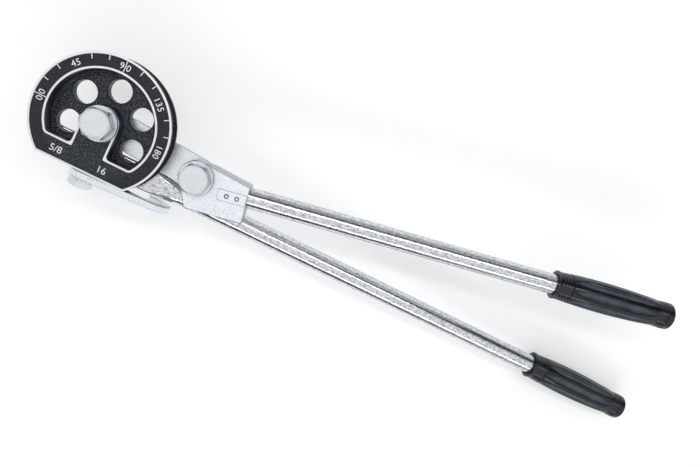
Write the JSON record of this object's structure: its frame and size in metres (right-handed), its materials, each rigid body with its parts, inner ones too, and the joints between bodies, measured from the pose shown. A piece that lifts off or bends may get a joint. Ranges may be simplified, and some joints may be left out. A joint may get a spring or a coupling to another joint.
{
  "type": "lever tube bender",
  "caption": "Hand lever tube bender: grooved form wheel with degree marks, hinged grooved shoe, tube hook and two handles with fluted grips.",
  "frame": {"origin": "on the form wheel's axis, at the end face of the pivot bolt, behind the link", "axes": "+Z along the form wheel's axis, out of its marked face; +X towards the form handle's grip; +Y away from the wheel's flat chord"},
  "size_m": [0.639, 0.1429, 0.0913],
  "materials": {
    "enamel": "semi-gloss black enamel over a cast surface",
    "casting": "matte plated casting",
    "plated": "satin zinc plate",
    "steel": "bright zinc-plated fastener",
    "tube_steel": "bright satin plated tube",
    "bronze": "plain bronze bearing",
    "vinyl": "slate-black moulded vinyl"
  },
  "bodies": {
    "form": {"form_wheel": "enamel", "pivot_bolt": "steel", "pivot_washer_front": "steel", "pivot_washer_back": "steel", "pivot_nut": "steel", "form_tube": "tube_steel", "form_screw_1": "steel", "form_screw_2": "steel", "form_grip": "vinyl", "hook_bolt": "steel", "hook_washer": "steel"},
    "link": {"link_plate": "plated", "link_bush": "bronze", "shoe_bolt": "steel", "shoe_washer_front": "steel", "shoe_washer_back": "steel", "shoe_nut": "steel"},
    "shoe": {"shoe_block": "casting", "shoe_bush": "bronze", "shoe_thrust_washer": "bronze", "shoe_tube": "tube_steel", "shoe_pin_1": "steel", "shoe_pin_2": "steel", "shoe_grip": "vinyl"},
    "hook": {"tube_hook": "plated"}
  },
  "joints": [
    {"name": "link_swing", "type": "hinge", "parent": "form", "child": "link", "pos_m": [0, 0, 0.0219], "axis": [0, 0, 1], "range_deg": [0, 186]},
    {"name": "shoe_handle_swing", "type": "hinge", "parent": "link", "child": "shoe", "pos_m": [0.08832, -0.00566, 0.0369], "axis": [0, 0, 1], "range_deg": [-72, 65]},
    {"name": "hook_swing", "type": "hinge", "parent": "form", "child": "hook", "pos_m": [0.0015, -0.0467, 0.03685], "axis": [0, -1, 0], "range_deg": [-74.2, 195.8]}
  ]
}
